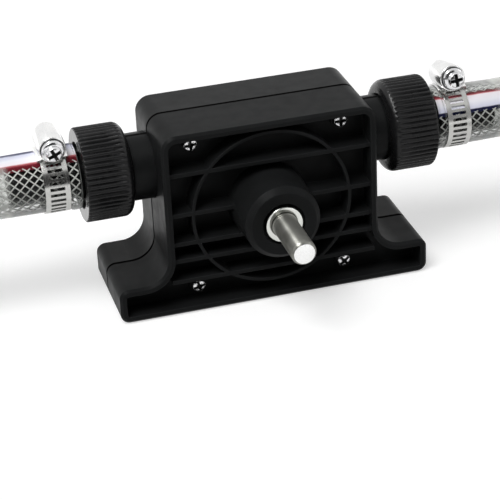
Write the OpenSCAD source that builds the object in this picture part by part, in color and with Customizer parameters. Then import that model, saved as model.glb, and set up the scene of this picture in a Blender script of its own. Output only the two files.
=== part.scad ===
// Self-priming pump driven by a hand drill, with two braided hoses.
// Lengths are in millimetres. X runs along the two ports, from inlet to outlet.
// The drive shaft points along -Y. Z is up and the base stands on Z = 0.
// Y = 0 is the parting plane between the two moulded halves.

/* [Housing] */
// Width of the body across its two ported sides
body_w = 70.4; // [67:0.2:74]
// Height of the body
body_h = 62.4; // [61.4:0.2:66]
// Depth of the front half, from the parting plane to its rim
front_d = 19.9; // [18:0.1:24]
// Depth of the rear half, from the parting plane to its back
rear_d = 16.2; // [15.8:0.1:20]
// Radius of the body's two top corners
corner_r = 5; // [3:0.5:7]
// Length of the base
base_w = 103.8; // [100:0.2:110]
// Height of the base at its two ends
base_h = 11.8; // [10.5:0.1:13]
// Radius of the base's corners
base_r = 3; // [2.6:0.1:4]
// Radius of the fillets between the body's sides and the base
fillet_r = 8; // [5:0.5:9]
// Wall thickness of the rim round the front and back recesses
rim_wall = 2.2; // [1.6:0.1:2.4]
// Wall thickness of the shell round the mechanism
shell_wall = 2.4; // [2:0.1:3]
// Thickness of the front web, the floor of the front recess
front_web = 2; // [1.6:0.1:3]
// Thickness of the rear web, the floor of the back recess
rear_web = 2.4; // [1.8:0.1:3]
// Chamfer round the front and back edges
edge_c = 0.8; // [0.4:0.1:1.2]
// Width of the groove that each half leaves along the parting line
groove_w = 0.2; // [0.1:0.05:0.4]
// Depth of that groove
groove_d = 0.9; // [0.5:0.1:1.2]

/* [Ribs] */
// Thickness of the horizontal ribs
rib_t = 1.4; // [1:0.1:2]
// How far the ribs stand back from the rim
rib_set = 1.2; // [0.6:0.1:2]
// Thickness of the round rib
ring_rib_t = 1; // [0.8:0.1:1.6]

/* [Chamber] */
// Height of the shaft above the table, as a share of the body's height
shaft_share = 0.52083; // [0.51:0.00001:0.54]
// Radius of the pumping chamber, as a share of the body's height
chamber_share = 0.38462; // [0.365:0.00001:0.395]
// Wall thickness of the chamber
chamber_wall = 2.5; // [1.8:0.1:2.8]
// Half the width of the chamber along the shaft
chamber_half = 10; // [9:0.1:10.6]
// How far the flat at the top of the chamber cuts into its radius
cam_drop = 2; // [1:0.1:2.6]
// Thickness of the flat gasket on the chamber's edge
seal_t = 0.8; // [0.5:0.1:1.2]

/* [Ports] */
// Height of the ports above the shaft, as a share of the chamber's radius
port_share = 0.5375; // [0.5:0.0005:0.56]
// Bore radius of the ports
port_bore_r = 6; // [5:0.1:6.4]
// Outer radius of the port inside the body
port_tube_r = 8.5; // [8:0.1:8.8]
// Radius of the plain neck outside the body
neck_r = 10.9; // [10.6:0.1:11.2]
// Length of the plain neck outside the body
neck_len = 7; // [6:0.1:7.2]
// Crest radius of the half-inch pipe thread on the port
thread_r = 10.5; // [10.2:0.05:10.6]
// Length of the threaded end
thread_len = 7.8; // [7.6:0.1:11]

/* [Union nuts] */
// Radius over the knurls
nut_r = 15.24; // [14.5:0.02:17]
// Length of the nut
nut_len = 15.5; // [15:0.1:17]
// Length of thread that the nut covers
nut_grip = 7.4; // [6:0.1:8]
// Thickness of the nut's end wall
nut_end = 3.4; // [2.6:0.1:4]
// Radius of the round recess in the nut's end
recess_r = 10.8; // [10.4:0.1:12]
// Depth of that recess
recess_d = 1.4; // [0.8:0.1:2]
// Length of the rounded shoulder on the pump side
nut_shoulder = 3; // [2:0.1:3.6]
// Number of knurls
knurls = 54; // [40:1:60]
// Radius of each groove between the knurls
knurl_r = 0.55; // [0.4:0.05:0.6]
// Radial clearance between nut and thread
nut_gap = 0.3; // [0.25:0.05:0.5]

/* [Hose tails] */
// Thickness of the rubber gasket in the union
gasket_t = 2; // [1.5:0.1:2.4]
// Radius of the collar that the nut pulls in
collar_r = 10.2; // [9.6:0.1:10.4]
// Radius of the tail where it passes through the nut
tail_neck_r = 7.5; // [7.2:0.1:8]
// Height of the barbs
barb_h = 0.6; // [0.4:0.05:0.9]
// Number of barbs
barbs = 5; // [3:1:7]
// Length of the barbed end
barb_len = 21; // [19:0.5:28]
// Bore radius of the tail
tail_bore_r = 4.6; // [4:0.1:5]
// How far the tail's neck stands out of the nut
tail_show = 1.9; // [1.5:0.1:3]

/* [Shaft and impeller] */
// Radius of the drive shaft
shaft_r = 4; // [3.9:0.01:4.05]
// How far the shaft stands out in front of the boss
shaft_show = 21.1; // [15:0.1:25]
// How much smaller in radius the shaft is in its bushes than in front
journal_drop = 0.5; // [0.3:0.05:0.7]
// Outer radius of the two bearing bushes
bush_r = 6.1; // [5.8:0.05:6.4]
// Radial running clearance of the shaft in its bushes
run_gap = 0.04; // [0.02:0.01:0.08]
// Number of rubber vanes
vanes = 6; // [4:1:6]
// Thickness of a vane
vane_t = 2.4; // [1.8:0.1:2.8]
// Radius of the round tip of a vane
vane_tip_r = 2; // [1.5:0.1:2.1]
// Radius of the impeller's rubber hub
hub_r = 10.5; // [9.5:0.1:12]
// Radius of the brass core in the impeller
core_r = 7.5; // [7:0.1:8]
// Radius of the cross pin through the shaft
pin_r = 1.25; // [1:0.05:1.5]

/* [Bearing boss] */
// Radius of the boss at the recess floor
boss_root_r = 13; // [12.4:0.1:15]
// Radius of the boss near its front
boss_nose_r = 12.3; // [11.5:0.1:13]
// Radius of the boss's flat front face
boss_face_r = 10.6; // [9.5:0.1:11]
// How far the boss stands out in front of the rim
boss_show = 11.9; // [9:0.1:14]
// Radius of the open mouth round the front bush
mouth_r = 7; // [6.8:0.05:7.5]
// Depth of that mouth
mouth_d = 2; // [1.2:0.1:3]

/* [Housing screws] */
// Distance of the screws in from the body's sides
screw_in = 10.5; // [9.6:0.1:11]
// Height of the upper screws below the body's top
screw_top = 5.6; // [5.4:0.1:6.4]
// Height of the lower screws above the table
screw_low = 6.4; // [6.2:0.1:7.2]
// Radius of a screw head
screw_head_r = 2.4; // [2.2:0.05:2.9]
// Height of a screw head
screw_head_h = 2; // [1.6:0.1:2.2]
// Shank radius of a screw
screw_r = 1.5; // [1.3:0.05:1.6]
// Length of a screw under its head
screw_len = 22; // [20:0.5:22.5]
// Outer radius of the screw bosses
screw_boss_r = 4.4; // [4:0.1:4.8]

/* [Hose clamps] */
// Distance of the inlet clamp's middle from the end of its hose
inlet_clamp_at = 6.7; // [5.6:0.1:9]
// Distance of the outlet clamp's middle from the end of its hose
outlet_clamp_at = 7.2; // [5.6:0.1:9]
// Turn of the inlet clamp's screw towards the front, from the top
inlet_clamp_turn = 4; // [-20:1:20]
// Turn of the outlet clamp's screw towards the front, from the top
outlet_clamp_turn = -10; // [-20:1:20]
// Width of the steel band
band_w = 8; // [7.5:0.1:9]
// Thickness of the steel band
band_t = 0.6; // [0.4:0.05:0.7]
// Number of slots round the band
band_slots = 33; // [28:1:36]
// Length of a slot across the band
slot_l = 4.7; // [4:0.1:5.2]
// Width of a slot along the band
slot_w = 1; // [0.7:0.05:1.2]
// Outer radius of the screw's barrel
barrel_r = 4.45; // [4.4:0.05:4.8]
// Bore radius of the barrel
barrel_bore_r = 3.8; // [3.6:0.05:3.9]
// Length of the barrel's straight part
barrel_len = 10; // [9:0.1:11]
// Clearance between the worm and the band
worm_lift = 0.35; // [0.3:0.05:0.9]
// Radius of the worm
worm_r = 3; // [2.7:0.05:3.1]
// Radius of the collar behind the screw's head
flange_r = 3.25; // [3:0.05:3.3]
// Radius of the screw's head
head_r = 2.5; // [2.2:0.05:2.8]
// How far the head stands out of the barrel
head_show = 3.7; // [3:0.1:5]

/* [Hoses] */
// Outer radius of a hose
hose_r = 9.75; // [9.5:0.05:10]
// Bore radius of a hose
hose_bore_r = 7; // [7:0.05:7.2]
// Radius of a coil where the hose enters it
coil_r = 112; // [105:1:120]
// How far the coil draws in with each turn
coil_pitch = 23; // [22.5:0.5:25]
// Number of turns in a coil
coil_turns = 1.345; // [1.1:0.005:1.4]

/* [Hidden] */
$fn = 72;
// overrun of every cut
over = 1;
// gap between fixed pieces, and between soft ones and moving ones
fit = 0.05;
loose = 0.3;
half_w = body_w / 2;
base_half = base_w / 2;
shaft_z = shaft_share * body_h;
chamber_r = chamber_share * body_h;
port_rise = port_share * chamber_r;
port_z = shaft_z + port_rise;
// depths in the front half, seen from the parting plane
web_back = -chamber_half;
web_face = web_back - front_web;
rib_face = -(front_d - rib_set);
boss_face = -(front_d + boss_show);
nose_c = 1.7;
// depths in the rear half
floor_in = chamber_half;
floor_out = floor_in + rear_web;
rib_back = rear_d - rib_set;
rear_boss_r = 9.4;
rear_boss_set = 0.2;
rear_boss_back = rear_d - rear_boss_set;
// heights of the rib tops, as shares of the body's height
rib_shares = [0.79, 0.567, 0.404, 0.308];
ring_rib_r = chamber_r + chamber_wall;
// the screws and the pads under their heads
screw_x = half_w - screw_in;
screw_zs = [screw_low, body_h - screw_top];
screw_pad = 1.4;
pad_rim = 0.3;
seat_y = web_face - screw_pad;
screw_gap = 0.15;
pilot_gap = 0.02;
pilot_spare = 1;
cross_l = 3.1;
cross_w = 0.9;
cross_d = 1.1;
// the port, from the chamber outwards
port_in_share = 0.7;
port_in = chamber_r * port_in_share;
wall_in = half_w - shell_wall;
thread_x = half_w + neck_len;
port_end = thread_x + thread_len;
thread_c = 0.8;
neck_gap = 0.15;
// the union nut
nut_x = port_end - nut_grip;
nut_out = nut_x + nut_len;
nut_rim = 0.9;
nut_face_c = 0.7;
nut_mouth_c = 0.4;
nut_bore_r = thread_r + nut_gap;
nut_hole_gap = 0.4;
nut_hole_r = tail_neck_r + nut_hole_gap;
shoulder_shares = [[0, 0], [0.3, 0.6], [0.64, 0.9], [1, 1]];
knurl_run = 0.35;
knurl_sink = 0.1;
// the hose tail
gasket_x = port_end + loose;
gasket_rim = 0.3;
collar_x = gasket_x + gasket_t;
collar_end = nut_out - nut_end - loose;
hose_x = nut_out + tail_show;
tail_end = hose_x + barb_len;
tail_tip = 1;
// the shaft and what it runs in
shaft_front = boss_face - shaft_show;
shaft_c = 0.5;
step_gap = 0.1;
bush_proud = 0.5;
bush_face = boss_face - bush_proud;
shaft_step = bush_face - step_gap;
journal_r = shaft_r - journal_drop;
front_bush_len = 15;
bush_c = 0.4;
seal_y = bush_face + front_bush_len + loose;
seal_r = 8.4;
seal_lip = 0.1;
washer_t = 0.8;
washer_y = web_back - fit - washer_t;
rear_bush_y = floor_in + loose;
rear_bush_len = 4.2;
rear_seat = rear_bush_y + rear_bush_len + fit;
shaft_back = rear_seat - fit;
// the impeller
side_gap = 0.7;
imp_half = chamber_half - side_gap;
tip_gap = 0.4;
core_gap = 0.02;
pin_half = core_r - loose;
vane_r = chamber_r - tip_gap - vane_tip_r;
// the clamp, seen with its screw on top
band_gap = 0.05;
band_in_r = hose_r + band_gap;
band_r = band_in_r + band_t;
cheek_t = 0.9;
saddle_half = band_w / 2 + loose + cheek_t;
saddle_r = band_r + loose + cheek_t;
saddle_y = 5.2;
saddle_drop = 1.6;
worm_z = band_r + worm_lift + worm_r;
barrel_y = -6;
dome_y = barrel_y + barrel_len;
dome_wall = 0.4;
flange_t = 2.8;
flange_in = 0.6;
head_y = barrel_y - head_show;
head_c = 0.6;
clamp_cross_l = 4;
clamp_cross_w = 1.1;
clamp_cross_d = 1.5;
// the hose: sides of its section, and the points of its free stretch, as
// runs along X from the union and shares of the drop to the table
hose_sides = 12;
barb_fit = 0.06;
barb_r = hose_bore_r * cos(180 / hose_sides) - barb_fit;
barb_root_r = barb_r - barb_h;
route_runs = [0, 10, 21, 32, 45.9, 59.4, 72.1, 83.7, 95.4, 108.1, 121.6, 135.5, 139.5];
route_shares = [1, 1, 1, 1, 0.9663, 0.871, 0.7139, 0.5007, 0.2847, 0.1276, 0.0323, 0, 0];
route = [for (i = [0 : len(route_runs) - 1])
    [hose_x + route_runs[i], hose_r + route_shares[i] * (port_z - hose_r)]];
// the coil: straight ends, rings in a turn, and the turn of the steps that
// its gap and its last direction are measured in
coil_lead = 16;
coil_tail = 20;
coil_rings = 24;
gap_step = 5;
gap_skip = 8;
last_step = 1;
coil_x = route[len(route) - 1][0] + coil_lead;

// Shapes that several pieces share.
// Extrudes a front view from depth y0 back to depth y1.
module slab(y0, y1)
    translate([0, y1, 0])
        rotate([90, 0, 0])
            linear_extrude(y1 - y0)
                children();

// A round rod along Y.
module rod_y(r, y0, y1, x = 0, z = shaft_z)
    translate([x, y1, z])
        rotate([90, 0, 0])
            cylinder(h = y1 - y0, r = r);

// A round rod along X.
module rod_x(r, x0, x1, z)
    translate([x0, 0, z])
        rotate([0, 90, 0])
            cylinder(h = x1 - x0, r = r);

// A piece turned about Y, from points of radius and depth.
module turned_y(points, x = 0, z = shaft_z)
    translate([x, 0, z])
        rotate([-90, 0, 0])
            rotate_extrude()
                polygon(points);

// A piece turned about the port axis, from points of radius and distance.
module turned_x(points, z = port_z)
    translate([0, 0, z])
        rotate([0, 90, 0])
            rotate_extrude()
                polygon(points);

// The right-hand piece, or its mirror image on the left.
module at_side(s)
    mirror([s < 0 ? 1 : 0, 0, 0])
        children();

// A box with round corners seen from the front, plain at the depth y0 and
// chamfered round its edge at the depth y1. It stands on Z = 0.
module chamfered(half, h, r, y0, y1) {
    c = edge_c * sign(y1 - y0);
    translate([-(half - r), 0, 0])
        rotate([90, 0, 90])
            linear_extrude(2 * (half - r))
                polygon([[y0, 0], [y1 - c, 0], [y1, edge_c], [y1, h - edge_c],
                    [y1 - c, h], [y0, h]]);
    translate([0, 0, r])
        linear_extrude(h - 2 * r)
            polygon([[-half, y0], [-half, y1 - c], [-half + edge_c, y1],
                [half - edge_c, y1], [half, y1 - c], [half, y0]]);
    for (x = [-(half - r), half - r])
        for (z = [r, h - r])
            turned_y([[0, y0], [r, y0], [r, y1 - c], [r - edge_c, y1], [0, y1]], x, z);
}

// The hollow fillet between the body's side and the top of the base.
module side_fillet(y0, y1) {
    d = sign(y1 - y0);
    difference() {
        translate([half_w - over, min(y0, y1), base_h - over])
            cube([fillet_r + over, abs(y1 - y0), fillet_r + over]);
        turned_y([[0, y0 - d * over], [fillet_r, y0 - d * over],
            [fillet_r, y1 - d * edge_c], [fillet_r + edge_c + over, y1 + d * over],
            [0, y1 + d * over]], half_w + fillet_r, base_h + fillet_r);
    }
}

// The solid body and base of one half, which faces the side d. Its sides and
// top stop short of the parting plane by the groove, its underside doesn't.
module half_block(d, depth) {
    y0 = d * (fit + groove_w);
    y1 = d * depth;
    chamfered(half_w, body_h, corner_r, y0, y1);
    chamfered(base_half, base_h, base_r, y0, y1);
    for (s = [-1, 1])
        at_side(s) side_fillet(y0, y1);
    slab(min(d * fit, y0 + d * over), max(d * fit, y0 + d * over)) {
        outline(groove_d);
        translate([-(base_half - base_r), 0])
            square([2 * (base_half - base_r), groove_d + over]);
    }
}

// A rectangle with round corners, symmetric about X = 0.
module rounded(half, z0, z1, r) {
    translate([-(half - r), z0])
        square([2 * (half - r), z1 - z0]);
    translate([-half, z0 + r])
        square([2 * half, z1 - z0 - 2 * r]);
    for (x = [-(half - r), half - r])
        for (z = [z0 + r, z1 - r])
            translate([x, z])
                circle(r);
}

// The front view of the body and base, drawn in by a wall.
module outline(wall) {
    rounded(half_w - wall, wall, body_h - wall, corner_r - wall);
    rounded(base_half - wall, wall, base_h - wall, base_r - wall);
    for (s = [-1, 1])
        mirror([s < 0 ? 1 : 0, 0])
            difference() {
                translate([half_w - wall - over, base_h - wall - over])
                    square(fillet_r + wall + over);
                translate([half_w + fillet_r, base_h + fillet_r])
                    circle(fillet_r + wall);
            }
}

// The ribs across a recess and the round rib about the shaft.
module recess_ribs(y0, y1) {
    tops = concat([base_h], [for (k = rib_shares) k * body_h]);
    for (top = tops)
        translate([-(half_w - rim_wall / 2), y0, top - rib_t])
            cube([2 * half_w - rim_wall, y1 - y0, rib_t]);
    difference() {
        rod_y(ring_rib_r, y0, y1);
        rod_y(ring_rib_r - ring_rib_t, y0 - over, y1 + over);
    }
}

// Repeats its children's shape at the four screws.
module at_screws()
    for (x = [-screw_x, screw_x])
        for (z = screw_zs)
            translate([x, 0, z])
                children();

// A cross recess for a screwdriver, cut from the face at y0 to the depth d.
module cross_recess(y0, d, l, w)
    for (a = [0, 90])
        rotate([0, a, 0])
            translate([-l / 2, y0 - over, -w / 2])
                cube([l, d + over, w]);

// The space that the rear half's ports need in the front half.
module port_space()
    for (s = [-1, 1])
        at_side(s) {
            rod_x(port_tube_r + neck_gap, port_in, half_w + over, port_z);
            rod_x(neck_r + neck_gap, wall_in - neck_gap, half_w + over, port_z);
        }

module front_housing()
    color([0.10, 0.105, 0.11])
        difference() {
            union() {
                difference() {
                    half_block(-1, front_d);
                    slab(-front_d - over, web_face) outline(rim_wall);
                    slab(web_back, over) outline(shell_wall);
                }
                recess_ribs(rib_face, web_face + fit);
                turned_y([[0, boss_face], [boss_face_r, boss_face],
                    [boss_nose_r, boss_face + nose_c], [boss_root_r, web_face],
                    [boss_root_r, web_back], [0, web_back]]);
                at_screws() {
                    rod_y(screw_head_r + pad_rim, seat_y, web_back, 0, 0);
                    rod_y(screw_boss_r, web_face, -fit, 0, 0);
                }
            }
            rod_y(mouth_r, boss_face - over, boss_face + mouth_d);
            rod_y(bush_r + fit, boss_face, seal_y);
            rod_y(seal_r + fit, seal_y - fit, over);
            at_screws() rod_y(screw_r + screw_gap, seat_y - over, over, 0, 0);
            port_space();
        }

module rear_housing()
    color([0.11, 0.115, 0.12])
        difference() {
            union() {
                difference() {
                    half_block(1, rear_d);
                    slab(-over, floor_in) outline(shell_wall);
                    slab(floor_out, rear_d + over) outline(rim_wall);
                }
                recess_ribs(floor_out - fit, rib_back);
                rod_y(rear_boss_r, floor_in, rear_boss_back);
                rod_y(chamber_r + chamber_wall, web_back + seal_t + 2 * fit, floor_out);
                at_screws() rod_y(screw_boss_r, fit, floor_out, 0, 0);
                for (s = [-1, 1])
                    at_side(s)
                        turned_x([[0, port_in], [port_tube_r, port_in],
                            [port_tube_r, wall_in], [neck_r, wall_in],
                            [neck_r, thread_x], [thread_r, thread_x],
                            [thread_r, port_end - thread_c],
                            [thread_r - thread_c, port_end], [0, port_end]]);
            }
            intersection() {
                rod_y(chamber_r, web_back, floor_in);
                translate([-chamber_r, web_back, shaft_z - chamber_r])
                    cube([2 * chamber_r, 2 * chamber_half, 2 * chamber_r - cam_drop]);
            }
            for (s = [-1, 1])
                at_side(s) rod_x(port_bore_r, port_in / 2, port_end + over, port_z);
            rod_y(bush_r + fit, floor_in - over, rear_seat);
            at_screws()
                rod_y(screw_r + pilot_gap, -over, seat_y + screw_len + pilot_spare, 0, 0);
        }

module chamber_seal()
    color([0.16, 0.16, 0.16])
        difference() {
            rod_y(chamber_r + chamber_wall - fit, web_back + fit, web_back + fit + seal_t);
            rod_y(chamber_r + fit, web_back - over, over);
        }

module bush(y0, l)
    turned_y([[journal_r + run_gap, y0], [bush_r - bush_c, y0], [bush_r, y0 + bush_c],
        [bush_r, y0 + l - bush_c], [bush_r - bush_c, y0 + l],
        [journal_r + run_gap, y0 + l]]);

module front_bush()
    color([0.78, 0.79, 0.80])
        bush(bush_face, front_bush_len);

module rear_bush()
    color([0.70, 0.62, 0.42])
        bush(rear_bush_y, rear_bush_len);

module shaft_seal()
    color([0.13, 0.13, 0.13])
        turned_y([[journal_r + seal_lip, seal_y], [seal_r, seal_y],
            [seal_r, washer_y - fit], [journal_r + seal_lip, washer_y - fit]]);

module thrust_washer()
    color([0.75, 0.75, 0.74])
        turned_y([[journal_r + loose, washer_y], [seal_r, washer_y],
            [seal_r, washer_y + washer_t], [journal_r + loose, washer_y + washer_t]]);

module housing_screws()
    color([0.72, 0.73, 0.74])
        at_screws()
            difference() {
                union() {
                    turned_y([[0, seat_y - screw_head_h],
                        [screw_head_r * 0.6, seat_y - screw_head_h],
                        [screw_head_r, seat_y - screw_head_h / 2],
                        [screw_head_r, seat_y], [0, seat_y]], 0, 0);
                    rod_y(screw_r, seat_y, seat_y + screw_len, 0, 0);
                }
                cross_recess(seat_y - screw_head_h, cross_d, cross_l, cross_w);
            }

// The shaft, a little thicker in front of its bushes, drilled for the pin.
module drive_shaft()
    color([0.80, 0.81, 0.82])
        difference() {
            turned_y([[0, shaft_front], [shaft_r - shaft_c, shaft_front],
                [shaft_r, shaft_front + shaft_c], [shaft_r, shaft_step],
                [journal_r, shaft_step], [journal_r, shaft_back - shaft_c],
                [journal_r - shaft_c, shaft_back], [0, shaft_back]]);
            rod_x(pin_r + fit, -(shaft_r + over), shaft_r + over, shaft_z);
        }

module drive_pin()
    color([0.68, 0.69, 0.70])
        rod_x(pin_r, -pin_half, pin_half, shaft_z);

module impeller_core()
    color([0.72, 0.58, 0.30])
        difference() {
            rod_y(core_r, -imp_half, imp_half);
            rod_y(journal_r + core_gap, -imp_half - over, imp_half + over);
            rod_x(pin_r + fit, -(core_r + over), core_r + over, shaft_z);
        }

module impeller()
    color([0.09, 0.09, 0.09])
        translate([0, 0, shaft_z])
            slab(-imp_half, imp_half)
                difference() {
                    union() {
                        circle(hub_r);
                        for (i = [0 : vanes - 1])
                            rotate((i + 0.5) * 360 / vanes) {
                                translate([-vane_t / 2, 0])
                                    square([vane_t, vane_r]);
                                translate([0, vane_r])
                                    circle(vane_tip_r);
                            }
                    }
                    circle(core_r + core_gap);
                }

// The tail: a collar inside the nut, a neck through it, and a barbed end.
module tail() {
    step = barb_len / barbs;
    turned_x(concat([[tail_bore_r, collar_x], [collar_r, collar_x],
        [collar_r, collar_end], [tail_neck_r, collar_end], [tail_neck_r, hose_x]],
        [for (i = [0 : barbs - 1], k = [0, 1])
            [k == 0 ? barb_r : barb_root_r, hose_x + (i + k) * step]],
        [[tail_bore_r, tail_end]]));
}

module inlet_tail() color([0.08, 0.08, 0.085]) at_side(-1) tail();
module outlet_tail() color([0.08, 0.08, 0.085]) at_side(1) tail();

module gasket()
    turned_x([[tail_bore_r + gasket_rim, gasket_x], [collar_r - gasket_rim, gasket_x],
        [collar_r - gasket_rim, gasket_x + gasket_t],
        [tail_bore_r + gasket_rim, gasket_x + gasket_t]]);

module inlet_gasket() color([0.15, 0.15, 0.15]) at_side(-1) gasket();
module outlet_gasket() color([0.15, 0.15, 0.15]) at_side(1) gasket();

// The knurled nut: a rounded shoulder on the pump side and an end wall that
// holds the tail's collar, recessed round the tail. Round grooves cut the
// knurls and run out on the shoulder.
module nut()
    difference() {
        turned_x(concat([[nut_bore_r + nut_mouth_c, nut_x]],
            [for (k = shoulder_shares)
                [nut_bore_r + nut_rim + k[1] * (nut_r - nut_bore_r - nut_rim),
                    nut_x + k[0] * nut_shoulder]],
            [[nut_r, nut_out - nut_face_c], [nut_r - nut_face_c, nut_out],
                [recess_r, nut_out], [recess_r, nut_out - recess_d],
                [nut_hole_r, nut_out - recess_d], [nut_hole_r, nut_out - nut_end],
                [nut_bore_r, nut_out - nut_end], [nut_bore_r, nut_x + nut_mouth_c]]));
        translate([0, 0, port_z])
            for (i = [0 : knurls - 1])
                rotate([i * 360 / knurls, 0, 0])
                    rod_x(knurl_r, nut_x, nut_out - nut_face_c - knurl_run,
                        nut_r + knurl_sink);
    }

module inlet_nut() color([0.13, 0.13, 0.135]) at_side(-1) nut();
module outlet_nut() color([0.13, 0.13, 0.135]) at_side(1) nut();

// Puts a clamp's piece at its place on the hose, turned about the hose.
module on_hose(x, turn)
    translate([x, 0, port_z])
        rotate([turn, 0, 0])
            children();

module band()
    difference() {
        rod_x(band_r, -band_w / 2, band_w / 2, 0);
        rod_x(band_in_r, -band_w / 2 - over, band_w / 2 + over, 0);
        for (i = [0 : band_slots - 1])
            rotate([(i + 0.5) * 360 / band_slots, 0, 0])
                translate([-slot_l / 2, -slot_w / 2, band_in_r - over])
                    cube([slot_l, slot_w, band_t + 2 * over]);
    }

// The barrel round the screw, domed at the back, and the curved saddle that
// lies on the band and grips it from both sides.
module barrel()
    difference() {
        union() {
            rod_y(barrel_r, barrel_y, dome_y, 0, worm_z);
            translate([0, dome_y, worm_z])
                sphere(r = barrel_r);
            intersection() {
                rod_x(saddle_r, -saddle_half, saddle_half, 0);
                translate([-saddle_half - over, -saddle_y, hose_r - saddle_drop])
                    cube([2 * (saddle_half + over), 2 * saddle_y, saddle_r]);
            }
        }
        rod_x(band_r + loose, -band_w / 2 - loose, band_w / 2 + loose, 0);
        rod_x(hose_r + loose, -saddle_half - over, saddle_half + over, 0);
        rod_y(barrel_bore_r, barrel_y - over, dome_y, 0, worm_z);
    }

// The worm screw, the collar in the barrel's mouth and the cross-slotted head.
module worm_screw()
    difference() {
        union() {
            rod_y(worm_r, barrel_y, dome_y - loose, 0, worm_z);
            rod_y(flange_r, barrel_y - flange_t + flange_in, barrel_y + flange_in, 0, worm_z);
            turned_y([[0, head_y], [head_r - head_c, head_y], [head_r, head_y + head_c],
                [head_r, barrel_y], [0, barrel_y]], 0, worm_z);
        }
        translate([0, 0, worm_z])
            cross_recess(head_y, clamp_cross_d, clamp_cross_l, clamp_cross_w);
    }

module at_inlet_clamp() on_hose(-(hose_x + inlet_clamp_at), inlet_clamp_turn) children();
module at_outlet_clamp() on_hose(hose_x + outlet_clamp_at, outlet_clamp_turn) children();

module inlet_clamp_band() color([0.80, 0.81, 0.82]) at_inlet_clamp() band();
module outlet_clamp_band() color([0.80, 0.81, 0.82]) at_outlet_clamp() band();
module inlet_clamp_housing() color([0.84, 0.85, 0.86]) at_inlet_clamp() barrel();
module outlet_clamp_housing() color([0.84, 0.85, 0.86]) at_outlet_clamp() barrel();
module inlet_clamp_screw() color([0.76, 0.77, 0.78]) at_inlet_clamp() worm_screw();
module outlet_clamp_screw() color([0.76, 0.77, 0.78]) at_outlet_clamp() worm_screw();

function unit(v) = v / norm(v);

// A hollow tube along a line of points, with its section's first corner
// turned to the direction side.
module hose_tube(line, side) {
    n = len(line);
    m = hose_sides;
    dirs = [for (i = [0 : n - 1])
        unit(line[min(i + 1, n - 1)] - line[max(i - 1, 0)])];
    points = [for (r = [hose_r, hose_bore_r], i = [0 : n - 1], k = [0 : m - 1])
        line[i] + r * (cos(k * 360 / m) * side
            + sin(k * 360 / m) * cross(dirs[i], side))];
    outer = [for (i = [0 : n - 2], k = [0 : m - 1])
        [i * m + k, (i + 1) * m + k, (i + 1) * m + (k + 1) % m, i * m + (k + 1) % m]];
    skin = [for (q = outer) each [[q[0], q[1], q[2]], [q[0], q[2], q[3]]]];
    bore = [for (t = skin) [t[0] + n * m, t[2] + n * m, t[1] + n * m]];
    near = [for (k = [0 : m - 1]) let (j = (k + 1) % m)
        each [[k, j, n * m + j], [k, n * m + j, n * m + k]]];
    far = [for (t = near) [t[0], t[2], t[1]] + (n - 1) * m * [1, 1, 1]];
    polyhedron(points, concat(skin, bore, near, far));
}

module free_hose()
    hose_tube([for (p = route) [p[0], 0, p[1]]], [0, 1, 0]);

// A point of the coil at the angle a, which winds in from its first turn.
function coil_at(a) = let (r = coil_r - coil_pitch * a / 360)
    [coil_x + r * sin(a), -coil_r + r * cos(a), hose_r];
coil_sweep = coil_turns * 360;
coil_last = unit(coil_at(coil_sweep) - coil_at(coil_sweep - last_step));
function coil_line(step) = concat(
    [[coil_x - coil_lead + fit, 0, hose_r]],
    [for (a = [0 : step : coil_sweep - step / 2]) coil_at(a)],
    [coil_at(coil_sweep), coil_at(coil_sweep) + coil_tail * coil_last]);

// The least gap between turns: points more than gap_skip steps apart are
// measured against each other.
function coil_gap() = let (line = coil_line(gap_step), n = len(line))
    min([for (i = [0 : n - 1], j = [i + 1 : 1 : n - 1])
        if (j - i > gap_skip) norm(line[i] - line[j])]) - 2 * hose_r;

module coil() {
    echo(least_coil_gap = coil_gap());
    hose_tube(coil_line(360 / coil_rings), [0, 0, 1]);
}

module inlet_hose() color([0.80, 0.81, 0.84, 0.8]) at_side(-1) free_hose();
module outlet_hose() color([0.80, 0.81, 0.84, 0.8]) at_side(1) free_hose();
module inlet_coil() color([0.80, 0.81, 0.84, 0.8]) at_side(-1) coil();
module outlet_coil() color([0.80, 0.81, 0.84, 0.8]) at_side(1) coil();

front_housing();
rear_housing();
chamber_seal();
front_bush();
rear_bush();
shaft_seal();
thrust_washer();
housing_screws();
drive_shaft();
drive_pin();
impeller_core();
impeller();
inlet_tail();
outlet_tail();
inlet_gasket();
outlet_gasket();
inlet_nut();
outlet_nut();
inlet_clamp_band();
outlet_clamp_band();
inlet_clamp_housing();
outlet_clamp_housing();
inlet_clamp_screw();
outlet_clamp_screw();
inlet_hose();
outlet_hose();
inlet_coil();
outlet_coil();
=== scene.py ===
# %% [markdown]
# # A pump that a hand drill turns
#
# Two black plastic halves hold a rubber impeller on a steel shaft. A clear
# hose leaves each side through a knurled union nut, and a slotted steel clamp
# holds it. The CAD model gives every piece its place and size, and this
# lesson gives them their looks. Blender counts in metres. Stations, outlines
# and radii such as 45.4 or 9.78 are in millimetres, and they are divided by
# 1000 where they are used.

# %% The CAD frame
import math

import bmesh
import bpy
import numpy as np
from mathutils import Matrix, Vector


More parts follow.
